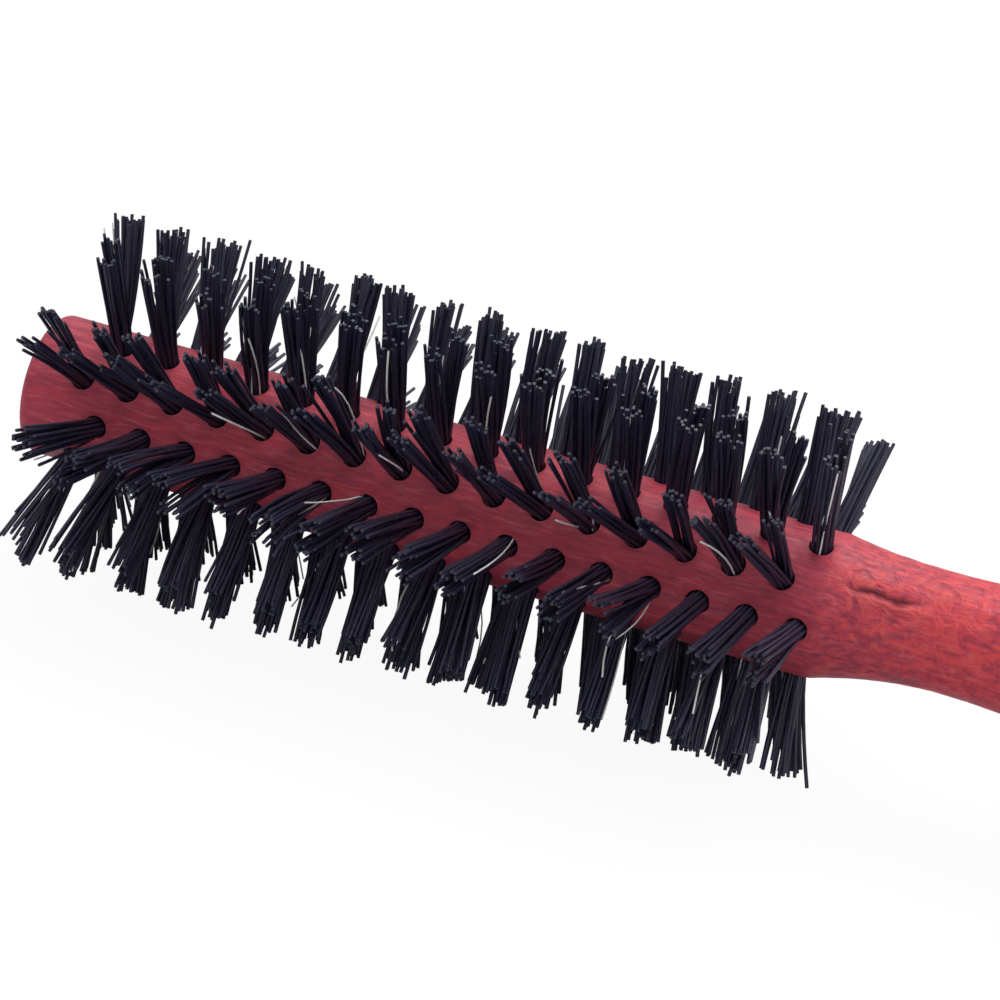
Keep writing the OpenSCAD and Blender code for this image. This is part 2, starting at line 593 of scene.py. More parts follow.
def hand_work(tree, given):
    """How far every point stands off the true turned surface, straight away from the axis."""
    place = here(tree)
    parts = split(tree, place)
    x = parts["X"]
    out = combine(tree, 0.0, parts["Y"], parts["Z"])
    radius = vectors(tree, "LENGTH", out)
    shift = combine(tree, 0.0, 0.0, given["Seed"])
    wave = noise_at(tree, vectors(tree, "MULTIPLY", place, WAVES_PER_METRE), shift)
    wrinkle = noise_at(tree, vectors(tree, "MULTIPLY", place, WRINKLES_PER_METRE), shift, 2.0, 1.2)
    neck = times(tree, remap(tree, x, LAST_X + 1 * MM, NECK_START_X + 6 * MM),
                 remap(tree, x, NECK_START_X + 20 * MM, NECK_START_X + 45 * MM, 1.0, 0.2))
    angle = sums(tree, "ARCTAN2", parts["Z"], times(tree, parts["Y"], -1.0))
    across = times(tree, minus(tree, angle, CRACK_ANGLE), radius)
    along = minus(tree, x, CRACK_X)
    fall = sums(tree, "POWER", over(tree, across, CRACK_WIDTH), 2.0)
    fall = sums(tree, "EXPONENT", times(tree, fall, -1.0))
    reach = minus(tree, 1.0, sums(tree, "POWER", over(tree, along, CRACK_REACH), 2.0), clamp=True)
    height = times(tree, wave, given["Wave"])
    height = plus(tree, height, times(tree, wrinkle, times(tree, neck, given["Wrinkle"])))
    height = minus(tree, height, times(tree, given["Crack depth"], times(tree, fall, reach)))
    skin = named(tree, "skin")
    near_axis = over(tree, radius, 4 * MM, clamp=True)
    height = times(tree, height, times(tree, skin, near_axis))
    return vectors(tree, "SCALE", vectors(tree, "NORMALIZE", out), scale=height)


def tapered(tree, given, cells):
    """The cells that reach past the start of the neck, brought down to the outline there."""
    parts = split(tree, here(tree))
    end = sums(tree, "MULTIPLY_ADD", given["Pitch"], given["Tufts in a row"], given["First tuft"])
    share = remap(tree, parts["X"], given["Neck start"], end)
    drop = times(tree, sums(tree, "POWER", share, 1.3), times(tree, given["Neck drop"], -1.0))
    out = vectors(tree, "NORMALIZE", combine(tree, 0.0, parts["Y"], parts["Z"]))
    skin = named(tree, "skin")
    return moved(tree, cells, vectors(tree, "SCALE", out, scale=times(tree, drop, skin)))


def body_tree():
    kinds = {int: "Int", float: "Float", tuple: "Vector"}
    tree, given, result = new_geometry_tree("turned_and_drilled", {
        "Outline": "Geometry", "Cell": "Object", "Half cell": "Object",
        **{name: kinds[type(value)] for name, value in BODY_SIZES.items()}, "Wood": "Material"})

    def drilled_x(lead, number):
        stagger = times(tree, minus(tree, 1.0, lead), 0.5)
        return sums(tree, "MULTIPLY_ADD", plus(tree, number, stagger), given["Pitch"], given["First tuft"])

    def plain_x(lead, number):
        start = minus(tree, given["First tuft"], times(tree, given["Pitch"], 0.5))
        return sums(tree, "MULTIPLY_ADD", times(tree, lead, given["Tufts in a row"]), given["Pitch"], start)

    def joined(*parts):
        join = put(tree, "GeometryNodeJoinGeometry")
        for part in parts:
            tree.links.new(part, join.inputs[0])
        return put(tree, "GeometryNodeRealizeInstances", {"Geometry": join.outputs[0]}).outputs[0]

    cells = joined(cells_on_rows(tree, given, given["Cell"], given["Tufts in a row"], drilled_x),
                   cells_on_rows(tree, given, given["Half cell"], 1.0, plain_x))
    whole = joined(turned_outline(tree, given), tapered(tree, given, cells))
    welded = put(tree, "GeometryNodeMergeByDistance", {"Geometry": whole, "Distance": given["Weld"]})
    worn = moved(tree, welded.outputs[0], hand_work(tree, given))
    raised = combine(tree, 0.0, 0.0, lift_at(tree, split(tree, here(tree))["X"], given["Handle lift"]))
    placed = moved(tree, worn, vectors(tree, "ADD", given["Axis"], raised))
    tree.links.new(finished(tree, placed, given["Wood"]), result.inputs[0])
    return tree


BODY_TREE = body_tree()
print("nodes in the turning tree:", len(BODY_TREE.nodes))

# %% [markdown]
# ## Shared surface effects
#
# Two effects serve more than one finish. Long streaks are noise pulled out along the turning axis:
# they make the grain of the wood, the drawing lines on the wire and the unevenness of the
# filaments. Soft patches are slow noise, for stain that took unevenly. Each is a group that gives
# out one value, so every material can use it with its own sizes.

# %% Shader groups
def effect_group(name, inputs):
    """An empty shader group with a vector input, the named values and one output, Value."""
    tree = bpy.data.node_groups.new(name, "ShaderNodeTree")
    tree.interface.new_socket("Vector", in_out="INPUT", socket_type="NodeSocketVector")
    for label, value in inputs.items():
        made = tree.interface.new_socket(label, in_out="INPUT", socket_type="NodeSocketFloat")
        made.default_value = value
    tree.interface.new_socket("Value", in_out="OUTPUT", socket_type="NodeSocketFloat")
    return tree, put(tree, "NodeGroupInput").outputs, put(tree, "NodeGroupOutput")


def long_streaks_group():
    """Noise stretched along X: so many features for each metre across and along, slightly wavy."""
    sizes = {"Across": 2000.0, "Along": 200.0, "Detail": 3.0, "Waver": 0.4}
    tree, given, result = effect_group("long_streaks", sizes)
    bend = put(tree, "ShaderNodeTexNoise", {"Vector": given["Vector"], "Scale": 140.0, "Detail": 1.0})
    bend = vectors(tree, "SCALE", vectors(tree, "SUBTRACT", bend.outputs[1], (0.5, 0.5, 0.5)),
                   scale=times(tree, given["Waver"], 2.0 * MM))
    stretch = combine(tree, given["Along"], given["Across"], given["Across"])
    place = vectors(tree, "MULTIPLY", vectors(tree, "ADD", given["Vector"], bend), stretch)
    grain = noise(tree, place, 1.0, detail=given["Detail"], roughness=0.6)
    tree.links.new(grain, result.inputs["Value"])
    return tree


def soft_patches_group():
    """Slow noise, pushed apart so that it reads as patches."""
    tree, given, result = effect_group("soft_patches", {"Size": 150.0, "Warp": 0.5, "Contrast": 2.0})
    slow = noise(tree, given["Vector"], given["Size"], detail=2.0, roughness=0.5, distortion=given["Warp"])
    spread = times(tree, minus(tree, slow, 0.5), given["Contrast"])
    tree.links.new(plus(tree, spread, 0.5, clamp=True), result.inputs["Value"])
    return tree


LONG_STREAKS = long_streaks_group()
SOFT_PATCHES = soft_patches_group()


def effect(tree, group, place, **values):
    """One of the shared effects, placed in a tree with its own values."""
    node = put(tree, "ShaderNodeGroup", node_tree=group)
    tree.links.new(place, node.inputs["Vector"])
    for name, value in values.items():
        node.inputs[name].default_value = value
    return node.outputs["Value"]


def new_material(name):
    """A material with an empty tree, its Principled shader and a place to read patterns from."""
    material = bpy.data.materials.new(name)
    material.use_nodes = True
    tree = material.node_tree
    tree.nodes.clear()
    shader = put(tree, "ShaderNodeBsdfPrincipled")
    surface = put(tree, "ShaderNodeOutputMaterial")
    tree.links.new(shader.outputs[0], surface.inputs["Surface"])
    place = put(tree, "ShaderNodeTexCoord").outputs["Object"]
    return material, tree, shader, place


def mix_colour(tree, share, a, b, blend="MIX"):
    node = put(tree, "ShaderNodeMix", data_type="RGBA", blend_type=blend)
    for index, value in ((0, share), (6, a), (7, b)):
        feed(tree, node.inputs[index], value)
    return node.outputs[2]


def attribute(tree, name):
    return put(tree, "ShaderNodeAttribute", attribute_name=name).outputs["Fac"]


# %% [markdown]
# ## Stained wood
#
# The wood is stained red under a very thin satin varnish, so the fine fibres still show. The
# stain lies from a bluish crimson to a warmer red in soft patches, under thin dark and pale fibres
# that run along the axis. At the neck the grain stands up in small wrinkles, with a painted
# highlight of warm red on their crests and a painted shade of dark crimson in their hollows, and the
# drying crack is nearly black with one pale torn edge. Round the mouth of every hole the rounded
# lip is painted paler, a painted highlight. The gloss breaks up along the same fibres, and the
# crack is dull.

# %% Mix the stained wood
# DEEP_CRIMSON is also the painted shade in the hollows of the neck wrinkles
DEEP_CRIMSON = (0.130, 0.017, 0.042, 1)
CRIMSON = (0.35, 0.032, 0.060, 1)
WARM_RED = (0.56, 0.042, 0.055, 1)
# PALE_FIBRE is also the painted highlight on the rounded lips of the holes
PALE_FIBRE = (0.60, 0.14, 0.17, 1)
CRACK_BROWN = (0.060, 0.006, 0.014, 1)
# ORANGE_RED is also the painted highlight on the crests of the neck wrinkles
ORANGE_RED = (0.60, 0.080, 0.066, 1)
CRACK_WANDER = 1.5 * MM
TORN_EDGE_BELOW = 0.85 * MM
TORN_EDGE_WIDTH = 0.55 * MM


def crack_masks(tree, place):
    """The dark core of the drying crack, and the pale torn edge just below it."""
    parts = split(tree, place)
    up = minus(tree, parts["Z"], plus(tree, lift_at(tree, parts["X"], HANDLE_LIFT), AXIS_Z))
    front = minus(tree, AXIS_Y, parts["Y"])
    radius = sums(tree, "SQRT", plus(tree, sums(tree, "POWER", up, 2.0), sums(tree, "POWER", front, 2.0)))
    across = times(tree, minus(tree, sums(tree, "ARCTAN2", up, front), CRACK_ANGLE), radius)
    wander = noise(tree, place, 300.0, detail=2.0)
    across = plus(tree, across, sums(tree, "MULTIPLY_ADD", wander, 2 * CRACK_WANDER, -CRACK_WANDER))
    along = sums(tree, "ABSOLUTE", minus(tree, parts["X"], CRACK_X))
    reach = remap(tree, along, 2.8 * MM, 5.4 * MM, 1.0, 0.0)
    width = sums(tree, "MULTIPLY_ADD", reach, 0.52 * MM, 0.10 * MM)
    core = minus(tree, 1.12, over(tree, sums(tree, "ABSOLUTE", across), width), clamp=True)
    below = sums(tree, "ABSOLUTE", plus(tree, across, TORN_EDGE_BELOW))
    edge = minus(tree, 1.0, over(tree, below, TORN_EDGE_WIDTH), clamp=True)
    edge = times(tree, edge, remap(tree, along, 3 * MM, 7 * MM, 1.0, 0.0))
    return times(tree, core, reach), edge


def stained_wood():
    material, tree, shader, place = new_material("red_stained_wood")
    fibres = effect(tree, LONG_STREAKS, place, Across=2100.0, Along=150.0, Detail=3.0, Waver=0.9)
    hairs = effect(tree, LONG_STREAKS, place, Across=5200.0, Along=330.0, Detail=2.0, Waver=0.9)
    longish = vectors(tree, "MULTIPLY", place, (0.45, 1.0, 1.0))
    clouds = effect(tree, SOFT_PATCHES, longish, Size=260.0, Warp=0.8, Contrast=2.8)
    blush = effect(tree, SOFT_PATCHES, longish, Size=620.0, Warp=1.6, Contrast=3.4)
    x = split(tree, place)["X"]
    neck = times(tree, remap(tree, x, LAST_X - 2 * MM, NECK_START_X + 4 * MM),
                 remap(tree, x, NECK_START_X + 24 * MM, NECK_START_X + 50 * MM, 1.0, 0.3))
    creases = noise(tree, place, 520.0, detail=2.0, roughness=0.5, distortion=1.1)
    ground = mix_colour(tree, clouds, DEEP_CRIMSON, CRIMSON)
    ground = mix_colour(tree, sums(tree, "MULTIPLY_ADD", neck, 0.20, 0.45), ground, CRIMSON)
    warm_share = times(tree, blush, sums(tree, "MULTIPLY_ADD", neck, 0.45, 0.40))
    warmer = remap(tree, x, NECK_START_X + 5 * MM, NECK_START_X + 16 * MM, 0.0, 0.40)
    warm_share = plus(tree, warm_share, warmer, clamp=True)
    colour = mix_colour(tree, warm_share, ground, WARM_RED)
    colour = mix_colour(tree, remap(tree, fibres, 0.53, 0.74, 0.0, 0.42), colour, PALE_FIBRE)
    colour = mix_colour(tree, remap(tree, fibres, 0.48, 0.28, 0.0, 0.50), colour, DEEP_CRIMSON)
    colour = mix_colour(tree, remap(tree, hairs, 0.54, 0.74, 0.0, 0.34), colour, DEEP_CRIMSON)
    # painted highlight on the crests of the neck wrinkles, from the same noise that bumps them
    crest_highlight = remap(tree, creases, 0.52, 0.68, 0.0, 0.55)
    # painted shade in the hollows of the neck wrinkles
    hollow_shade = remap(tree, creases, 0.46, 0.32, 0.0, 0.42)
    # painted highlight in orange red on the crests, painted shade in dark crimson in the hollows
    colour = mix_colour(tree, times(tree, crest_highlight, neck), colour, ORANGE_RED)
    colour = mix_colour(tree, times(tree, hollow_shade, neck), colour, DEEP_CRIMSON)
    # painted highlight: the rounded lip at the mouth of every hole is painted paler
    colour = mix_colour(tree, times(tree, attribute(tree, "lip"), 0.30), colour, PALE_FIBRE)
    core, edge = crack_masks(tree, place)
    colour = mix_colour(tree, times(tree, edge, 0.45), colour, ORANGE_RED)
    colour = mix_colour(tree, times(tree, core, 0.92), colour, CRACK_BROWN)
    tree.links.new(colour, shader.inputs["Base Color"])
    rough = remap(tree, fibres, 0.25, 0.75, 0.60, 0.48)
    tree.links.new(sums(tree, "MULTIPLY_ADD", core, 0.35, rough), shader.inputs["Roughness"])
    shader.inputs["Specular IOR Level"].default_value = 0.28
    shader.inputs["Coat Weight"].default_value = 0.06
    shader.inputs["Coat Roughness"].default_value = 0.30
    hair_bump = put(tree, "ShaderNodeBump", {"Height": hairs, "Distance": 0.04 * MM, "Strength": 0.6})
    fibre_bump = put(tree, "ShaderNodeBump", {"Height": fibres, "Distance": 0.07 * MM, "Strength": 0.6,
                                              "Normal": hair_bump.outputs[0]})
    crease_bump = put(tree, "ShaderNodeBump", {"Height": times(tree, creases, neck),
                                               "Distance": 0.42 * MM, "Strength": 0.9,
                                               "Normal": fibre_bump.outputs[0]})
    crack_bump = put(tree, "ShaderNodeBump", {"Height": sums(tree, "MULTIPLY_ADD", core, -1.0, edge),
                                              "Distance": 0.16 * MM, "Strength": 0.8,
                                              "Normal": crease_bump.outputs[0]})
    tree.links.new(crack_bump.outputs[0], shader.inputs["Normal"])
    return material


wood_finish = stained_wood()
print("stained wood nodes:", len(wood_finish.node_tree.nodes))

# %% [markdown]
# ## Making the body
#
# The tree is run once on the drawn outline. The result is a plain mesh, whose faces are made to
# look outwards again, because a rolled grid can come out with its inside turned out.

# %% Turn, drill and finish the body
def drawn_outline(points):
    """The outline as a chain of points around an axis through the origin."""
    mesh = bpy.data.meshes.new("outline")
    mesh.from_pydata([(x, 0, r) for x, r in points], [(k, k + 1) for k in range(len(points) - 1)], [])
    return mesh


def faces_outwards(piece):
    """Turns every face of a closed mesh outwards and tells how many edges are open."""
    work = bmesh.new()
    work.from_mesh(piece.data)
    bmesh.ops.recalc_face_normals(work, faces=work.faces)
    open_edges = sum(1 for e in work.edges if not e.is_manifold)
    work.to_mesh(piece.data)
    work.free()
    return open_edges


body_values = {**BODY_SIZES, "Cell": CELL, "Half cell": HALF_CELL, "Wood": wood_finish}
turned_body = made_by(BODY_TREE, drawn_outline(outline), body_values, "turned_body")
for pattern in (CELL, HALF_CELL):
    bpy.data.objects.remove(pattern)
open_edges = faces_outwards(turned_body)
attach(turned_body, BODY)
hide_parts("brush_body")
print(f"turned body: {len(turned_body.data.polygons)} faces, open edges: {open_edges}")

# %% [markdown]
# ## Bristle nylon
#
# The filaments are extruded nylon with a blue-black dye and a semi-gloss skin. Where they were
# cut the ends are dull and greyer. A few filaments are painted near white: partly filaments that
# took hardly any dye, partly a painted glint that stands for the bright streaks of light along
# single filaments. The tree that grows the bristles leaves two values on every filament, how far
# along it a point lies and a random tone, and the finish reads both.

# %% Mix the bristle nylon
BLUE_BLACK = (0.0165, 0.0160, 0.0360, 1)
SLATE = (0.027, 0.0275, 0.054, 1)
CUT_END = (0.026, 0.028, 0.046, 1)
# painted glint: near-white filaments stand for streaks of light along single filaments, besides a few undyed
# ones
PALE_GLINT_FILAMENT = (0.78, 0.76, 0.74, 1)
PALE_TONE = 0.972


def bristle_nylon():
    material, tree, shader, place = new_material("blue_black_nylon")
    along, tone = attribute(tree, "along"), attribute(tree, "tone")
    uneven = effect(tree, LONG_STREAKS, place, Across=900.0, Along=900.0, Detail=2.0, Waver=0.0)
    base = mix_colour(tree, times(tree, tone, uneven), BLUE_BLACK, SLATE)
    # painted glint: near-white filaments, partly undyed ones, partly painted glints of light along single
    # filaments
    dyed_and_glints = mix_colour(tree, sums(tree, "GREATER_THAN", tone, PALE_TONE), base, PALE_GLINT_FILAMENT)
    end = mix_colour(tree, remap(tree, along, 0.998, 0.9998), dyed_and_glints, CUT_END)
    tree.links.new(end, shader.inputs["Base Color"])
    tree.links.new(remap(tree, uneven, 0.3, 0.7, 0.30, 0.46), shader.inputs["Roughness"])
    shader.inputs["Specular IOR Level"].default_value = 0.36
    return material


nylon_finish = bristle_nylon()
print("nylon nodes:", len(nylon_finish.node_tree.nodes))

# %% [markdown]
# ## Growing the bristles
#
# Every tuft is a bundle of filaments that are folded over a piece of wire at the bottom of one
# hole. They leave the hole packed tight, in two legs, one on each side of the wire, and the legs
# part a little towards their trimmed tips. Hair systems could do it, but a Geometry Nodes tree
# states the rule openly: each tuft is one point, the point is copied once for each filament, the
# copies are laid out like the seeds of a sunflower, and a short line on each copy is bent to its
# own root, tip and bow before it is given its thickness. The brush lies on two of its rows, so a
# filament that would reach under the table is laid along it. All the sizes are inputs of the tree,
# and the random draws are seeded.

# %% The bristle tree
FILAMENTS = 26
FILAMENT_SIDES = 6
LINE_POINTS = 7
GOLDEN_TURN = math.pi * (3 - math.sqrt(5))
BRISTLE_SIZES = {
    "Filament radius": 0.245 * MM,
    "Root radius": HOLE_R,
    "Tip length": 1.45 * MM,
    "Tip width": 1.30 * MM,
    "Root depth": 3.1 * MM,
    "Length": cad_box[1][1] - BARREL_R - 0.6 * MM,
    "Trim": 0.55 * MM,
    "Bow": 0.16 * MM,
    "Stray": 0.44 * MM,
    "Table": 0.27 * MM,
}


def draw(tree, low, high, identity, seed, kind="FLOAT"):
    """A random value for each filament."""
    limits = {"Min": low, "Max": high, "ID": identity, "Seed": seed}
    return first_out(put(tree, "FunctionNodeRandomValue", limits, data_type=kind))


def filament_plan(tree, given, number, identity):
    """Where each filament starts, where its tip goes and how it bends, as offsets from its tuft."""
    def seed(step):
        return plus(tree, given["Seed"], float(step))

    out = named(tree, "outwards", "FLOAT_VECTOR")
    around = vectors(tree, "CROSS_PRODUCT", out, (1.0, 0.0, 0.0))
    turn = sums(tree, "MULTIPLY_ADD", number, GOLDEN_TURN, named(tree, "turn"))
    ring = sums(tree, "POWER", over(tree, plus(tree, number, 0.5), given["Filaments"]), 0.42)
    root_r = minus(tree, given["Root radius"], given["Filament radius"])
    u, v = times(tree, sums(tree, "COSINE", turn), ring), times(tree, sums(tree, "SINE", turn), ring)
    leg = sums(tree, "SIGN", v)

    def offset(length, width):
        return vectors(tree, "ADD", combine(tree, length), vectors(tree, "SCALE", around, scale=width))

    root = offset(times(tree, u, root_r), times(tree, v, root_r))
    spread = named(tree, "spread")
    length = times(tree, times(tree, u, given["Tip length"]), spread)
    length = plus(tree, length, times(tree, leg, named(tree, "cross")))
    width = times(tree, times(tree, v, given["Tip width"]), spread)
    width = plus(tree, width, times(tree, leg, named(tree, "part")))
    tone = draw(tree, 0.0, 1.0, identity, seed(6))
    # the near-white filaments (painted glints, partly undyed ones) also stray, bow more and are shorter and
    # thinner
    pale = sums(tree, "GREATER_THAN", tone, PALE_TONE)
    wild = sums(tree, "MAXIMUM", sums(tree, "POWER", draw(tree, 0.0, 1.0, identity, seed(1)), 9.0), pale)
    shake = vectors(tree, "SCALE", draw(tree, (-1, -1, -1), (1, 1, 1), identity, seed(2), "FLOAT_VECTOR"),
                    scale=times(tree, sums(tree, "MULTIPLY_ADD", wild, 3.5, 1.0), given["Stray"]))
    tip = vectors(tree, "ADD", offset(length, width), shake)
    tip = vectors(tree, "ADD", tip, named(tree, "lean", "FLOAT_VECTOR"))
    short = sums(tree, "POWER", draw(tree, 0.0, 1.0, identity, seed(3)), 8.0)
    trim = minus(tree, draw(tree, -0.7, 0.9, identity, seed(4)), times(tree, short, 5.0))
    trim = minus(tree, trim, times(tree, pale, 5.0))
    mean_reach = times(tree, given["Length"], named(tree, "reach"))
    reach = sums(tree, "MULTIPLY_ADD", trim, given["Trim"], mean_reach)
    bow = vectors(tree, "SCALE", draw(tree, (-1, -1, -1), (1, 1, 1), identity, seed(5), "FLOAT_VECTOR"),
                  scale=times(tree, given["Bow"], sums(tree, "MULTIPLY_ADD", pale, 5.0, 1.0)))
    bow = vectors(tree, "ADD", bow, named(tree, "sweep", "FLOAT_VECTOR"))
    girth = minus(tree, draw(tree, 0.92, 1.06, identity, seed(7)), times(tree, pale, 0.50))
    return {"root_off": (root, "FLOAT_VECTOR"), "tip_off": (tip, "FLOAT_VECTOR"),
            "bow": (bow, "FLOAT_VECTOR"), "full_reach": (reach, "FLOAT"),
            "tone": (tone, "FLOAT"), "girth": (girth, "FLOAT")}


def bristle_tree():
    tree, given, result = new_geometry_tree("bristle_tufts", {
        "Tufts": "Geometry", "Filaments": "Int", **{name: "Float" for name in BRISTLE_SIZES},
        "Seed": "Int", "Nylon": "Material"})
    wanted = {"Geometry": given["Tufts"], "Amount": given["Filaments"]}
    copies = put(tree, "GeometryNodeDuplicateElements", wanted, domain="POINT").outputs
    identity = put(tree, "GeometryNodeInputIndex").outputs[0]
    points = keep(tree, copies["Geometry"], "tuft_place", here(tree), "FLOAT_VECTOR")
    plan = filament_plan(tree, given, copies["Duplicate Index"], identity)
    for name, (value, kind) in plan.items():
        points = keep(tree, points, name, value, kind)
    line = put(tree, "GeometryNodeCurvePrimitiveLine", {"End": (0.0, 0.0, 1.0)})
    line = put(tree, "GeometryNodeResampleCurve", {"Curve": line.outputs[0], "Count": LINE_POINTS})
    grown = put(tree, "GeometryNodeInstanceOnPoints", {"Points": points, "Instance": line.outputs[0]})
    grown = put(tree, "GeometryNodeRealizeInstances", {"Geometry": grown.outputs[0]})

    share = put(tree, "GeometryNodeSplineParameter").outputs["Factor"]
    reach = named(tree, "full_reach")
    span = plus(tree, reach, given["Root depth"])
    height = minus(tree, times(tree, share, span), given["Root depth"])
    free_share = over(tree, height, reach, clamp=True)
    opened = sums(tree, "POWER", free_share, 1.02)
    arch = times(tree, free_share, times(tree, minus(tree, 1.0, free_share), 4.0))
    root = named(tree, "root_off", "FLOAT_VECTOR")
    fan = vectors(tree, "SUBTRACT", named(tree, "tip_off", "FLOAT_VECTOR"), root)
    at = vectors(tree, "ADD", named(tree, "tuft_place", "FLOAT_VECTOR"), root)
    out, bow = named(tree, "outwards", "FLOAT_VECTOR"), named(tree, "bow", "FLOAT_VECTOR")
    for direction, length in ((out, height), (fan, opened), (bow, arch)):
        at = vectors(tree, "ADD", at, vectors(tree, "SCALE", direction, scale=length))
    parts = split(tree, at)
    at = combine(tree, parts["X"], parts["Y"], sums(tree, "MAXIMUM", parts["Z"], given["Table"]))
    bent = put(tree, "GeometryNodeSetPosition", {"Geometry": grown.outputs[0], "Position": at}).outputs[0]
    bent = keep(tree, bent, "along", free_share)
    section = put(tree, "GeometryNodeCurvePrimitiveCircle", {
        "Resolution": FILAMENT_SIDES, "Radius": given["Filament radius"]})
    solid = put(tree, "GeometryNodeCurveToMesh", {"Curve": bent, "Profile Curve": section.outputs[0],
                                                  "Scale": named(tree, "girth"), "Fill Caps": True})
    tree.links.new(finished(tree, solid.outputs[0], given["Nylon"]), result.inputs[0])
    return tree


BRISTLE_TREE = bristle_tree()
print("bristle tree nodes:", len(BRISTLE_TREE.nodes))

# %% [markdown]
# ## Planting the rows
#
# A row is a handful of loose points, one at the mouth of each hole. Use has pushed the rows over a
# little, each its own way, every tuft stands slightly differently, and the first and last tufts of
# a row splay outwards because nothing stands beside them. The tables below say how single rows
# differ from the rest, in millimetres at the tips unless a line says otherwise: how far a row is
# pushed along the axis and around it, how far its two legs part, and how far the legs pass each
# other along the axis. Each row is evaluated once and kept as a plain mesh.

# %% Plant every row
ROW_PUSH = {1: (-1.8, 1.3), 2: (-2.2, 1.9), 3: (0.0, 0.0), 4: (-1.0, 0.0), 9: (0.7, 0.2), 10: (1.5, 0.9)}
ROW_PART = {1: (0.4, 1.4), 2: (0.8, 2.0)}
USUAL_PART = (0.5, 2.4)
ROW_CROSS = {2: 0.9}
CROSS_SCATTER = 0.45
ROW_REACH = {4: 0.94, 5: 0.94, 9: 0.95}  # as a share of the full length
ROW_SPLAY = {2: 0.2, 10: 3.4}  # at the free end, in END_SPLAYs
ROW_WEAR = {9: 0.12}  # share of the length lost from the first tuft to the last
LEAN_ALONG, LEAN_AROUND = 0.50 * MM, 0.65 * MM
TUFT_SWEEP = 0.10 * MM
END_SPLAY = 1.0 * MM
PLAN_NAMES = ("outwards", "lean", "sweep", "turn", "spread", "part", "cross", "reach",
              "tuft_place", "root_off", "tip_off", "bow", "full_reach", "girth")
choices = random.Random(31)


def row_points(row, number):
    """The points of a row at the mouths of its holes, with how each tuft stands."""
    angle = row_angle[row]
    out = Vector((0, -math.cos(angle), math.sin(angle)))
    along, around = Vector((1, 0, 0)), out.cross(Vector((1, 0, 0)))
    push_along, push_around = ROW_PUSH.get(number, (choices.uniform(-1, 1), choices.uniform(-1, 1)))
    wear = ROW_WEAR.get(number, 0.0) / TUFTS
    tufts = []
    for k, x in enumerate(tuft_x[row]):
        splay = END_SPLAY * (0.5 ** (TUFTS - k) - ROW_SPLAY.get(number, 1.0) * 0.5**k)
        lean = along * (push_along * MM + splay + choices.gauss(0, LEAN_ALONG))
        lean += around * (push_around * MM + choices.gauss(0, LEAN_AROUND))
        sweep = along * choices.gauss(0, TUFT_SWEEP) + around * choices.gauss(0, TUFT_SWEEP)
        tufts.append({
            "outwards": out,
            "lean": lean,
            "sweep": sweep,
            "turn": choices.uniform(0, 2 * math.pi),
            "spread": choices.uniform(0.85, 1.15),
            "part": choices.uniform(*ROW_PART.get(number, USUAL_PART)) * MM,
            "cross": choices.gauss(ROW_CROSS.get(number, 0.0), CROSS_SCATTER) * MM,
            "reach": choices.uniform(0.97, 1.03) * (ROW_REACH.get(number, 1.0) - wear * k),
            "place": Vector((x, AXIS_Y, AXIS_Z)) + out * BARREL_R,
        })
    mesh = bpy.data.meshes.new(row + "_points")
    mesh.from_pydata([t["place"] for t in tufts], [], [])
    for label in ("outwards", "lean", "sweep"):
        layer = mesh.attributes.new(label, "FLOAT_VECTOR", "POINT")
        layer.data.foreach_set("vector", np.array([t[label] for t in tufts], np.float32).ravel())
    for label in ("turn", "spread", "part", "cross", "reach"):
        layer = mesh.attributes.new(label, "FLOAT", "POINT")
        layer.data.foreach_set("value", np.array([t[label] for t in tufts], np.float32))
    return mesh


for number, row in enumerate(ROWS, 1):
    bristles = made_by(BRISTLE_TREE, row_points(row, number),
                       {**BRISTLE_SIZES, "Filaments": FILAMENTS, "Seed": 100 * number, "Nylon": nylon_finish},
                       f"bristle_row_{number:02d}", PLAN_NAMES)
    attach(bristles, BODY)
    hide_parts(row)
    print(bristles.name, "faces:", len(bristles.data.polygons))

# %% [markdown]
# ## The wire anchors
#
# The anchors keep the shape they have in the design, because a cut piece of flat wire has nothing
# to add. They only need their finish: drawn brass with fine lines along the strip.

# %% Finish the anchors
DEEP_BRASS = (0.60, 0.42, 0.16, 1)
BRIGHT_BRASS = (0.80, 0.62, 0.32, 1)


def drawn_brass():
    material, tree, shader, place = new_material("drawn_brass")
    lines = effect(tree, LONG_STREAKS, place, Across=9000.0, Along=500.0, Detail=2.0, Waver=0.0)
    tree.links.new(mix_colour(tree, lines, DEEP_BRASS, BRIGHT_BRASS), shader.inputs["Base Color"])
    tree.links.new(remap(tree, lines, 0.3, 0.7, 0.25, 0.45), shader.inputs["Roughness"])
    shader.inputs["Metallic"].default_value = 1.0
    return material


brass = drawn_brass()
for name in ANCHORS:
    mesh = frame["nodes"][name].data
    mesh.materials.clear()
    mesh.materials.append(brass)
print("anchor rows finished:", len(ANCHORS))

# %% [markdown]
# ## Table, light and surroundings
#
# The brush is shown on white, evenly lit, as for a catalogue: a white table, a bright soft
# surround that is stronger above than at the sides, and one wide soft light overhead that puts a
# sheen on the top of the barrel. The table is a light table. Most of what the camera sees of it is
# its own glow, so only a faint shadow is left, while the brush gets from it just what a white
# table reflects.

# %% Set the stage
FLOOR_SIZE = 12.0
TABLE_GREY = (0.50, 0.51, 0.54, 1)
TABLE_PALE = (0.52, 0.53, 0.56, 1)
TABLE_GLOW = 0.9
SOFTBOX_SIZE = 0.8
SOFTBOX_WATTS = 9.0
SKY_SIDE = 0.46
SKY_TOP = 1.35


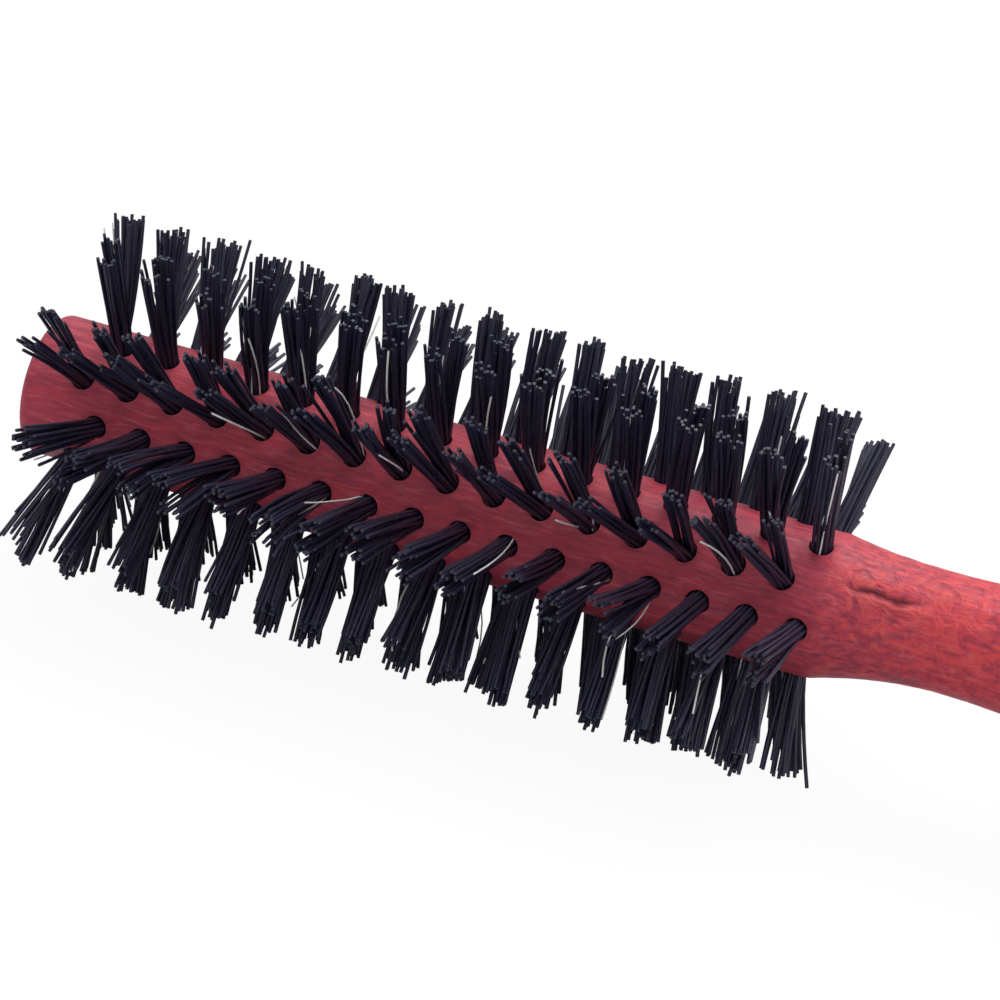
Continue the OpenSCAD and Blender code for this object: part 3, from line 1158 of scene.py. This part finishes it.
def light_table():
    material, tree, shader, place = new_material("white_light_table")
    tone = effect(tree, SOFT_PATCHES, place, Size=6.0, Warp=0.2, Contrast=0.6)
    tree.links.new(mix_colour(tree, tone, TABLE_GREY, TABLE_PALE), shader.inputs["Base Color"])
    shader.inputs["Roughness"].default_value = 0.9
    shader.inputs["Specular IOR Level"].default_value = 0.1
    glow = put(tree, "ShaderNodeEmission", {"Color": (1.0, 1.0, 1.0, 1), "Strength": 1.04})
    seen = put(tree, "ShaderNodeLightPath").outputs["Is Camera Ray"]
    both = put(tree, "ShaderNodeMixShader", {0: times(tree, seen, TABLE_GLOW), 1: shader.outputs[0],
                                             2: glow.outputs[0]})
    surface = next(n for n in tree.nodes if n.type == "OUTPUT_MATERIAL")
    tree.links.new(both.outputs[0], surface.inputs["Surface"])
    return material


half = FLOOR_SIZE / 2
corners = [(-half, -half, 0), (half, -half, 0), (half, half, 0), (-half, half, 0)]
floor_mesh = bpy.data.meshes.new("table_top")
floor_mesh.from_pydata(corners, [], [(0, 1, 2, 3)])
floor = into_scene(bpy.data.objects.new("table_top", floor_mesh))
floor.data.materials.append(light_table())
floor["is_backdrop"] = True


def softbox(name, azimuth, elevation, distance, size, watts):
    lamp = bpy.data.lights.new(name, "AREA")
    lamp.size = size
    lamp.energy = watts
    holder = into_scene(bpy.data.objects.new(name, lamp))
    place = on_circle(AIM, math.radians(azimuth), math.radians(elevation), distance)
    holder.matrix_world = look_at(place, AIM)


def white_surround():
    """A surround that is white to look at, and lights the brush more from above than from the sides."""
    world = bpy.data.worlds.new("white_surround")
    world.use_nodes = True
    tree = world.node_tree
    tree.nodes.clear()
    direction = put(tree, "ShaderNodeTexCoord").outputs["Generated"]
    up = split(tree, direction)["Z"]
    strength = remap(tree, up, 0.0, 1.0, SKY_SIDE, SKY_TOP)
    soft = put(tree, "ShaderNodeBackground", {"Color": (0.98, 0.99, 1.0, 1), "Strength": strength})
    white = put(tree, "ShaderNodeBackground", {"Color": (1.0, 1.0, 1.0, 1), "Strength": 1.0})
    seen = put(tree, "ShaderNodeLightPath").outputs["Is Camera Ray"]
    both = put(tree, "ShaderNodeMixShader", {0: seen, 1: soft.outputs[0], 2: white.outputs[0]})
    tree.links.new(both.outputs[0], put(tree, "ShaderNodeOutputWorld").inputs["Surface"])
    return world


softbox("overhead_softbox", 150, 66, 1.1, SOFTBOX_SIZE, SOFTBOX_WATTS)
bpy.context.scene.world = white_surround()
bpy.context.scene.view_settings.view_transform = "Standard"

# %% [markdown]
# ## Checking the size
#
# The visual model has to fill the same space as the design. How far its box has grown past the
# design's box is printed, in millimetres.

# %% Compare the two boxes and finish
visual_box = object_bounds()
growth = [[round((v - c) / MM, 2) for v, c in zip(*pair)] for pair in zip(visual_box, cad_box)]
print("grown by, in mm:", growth)
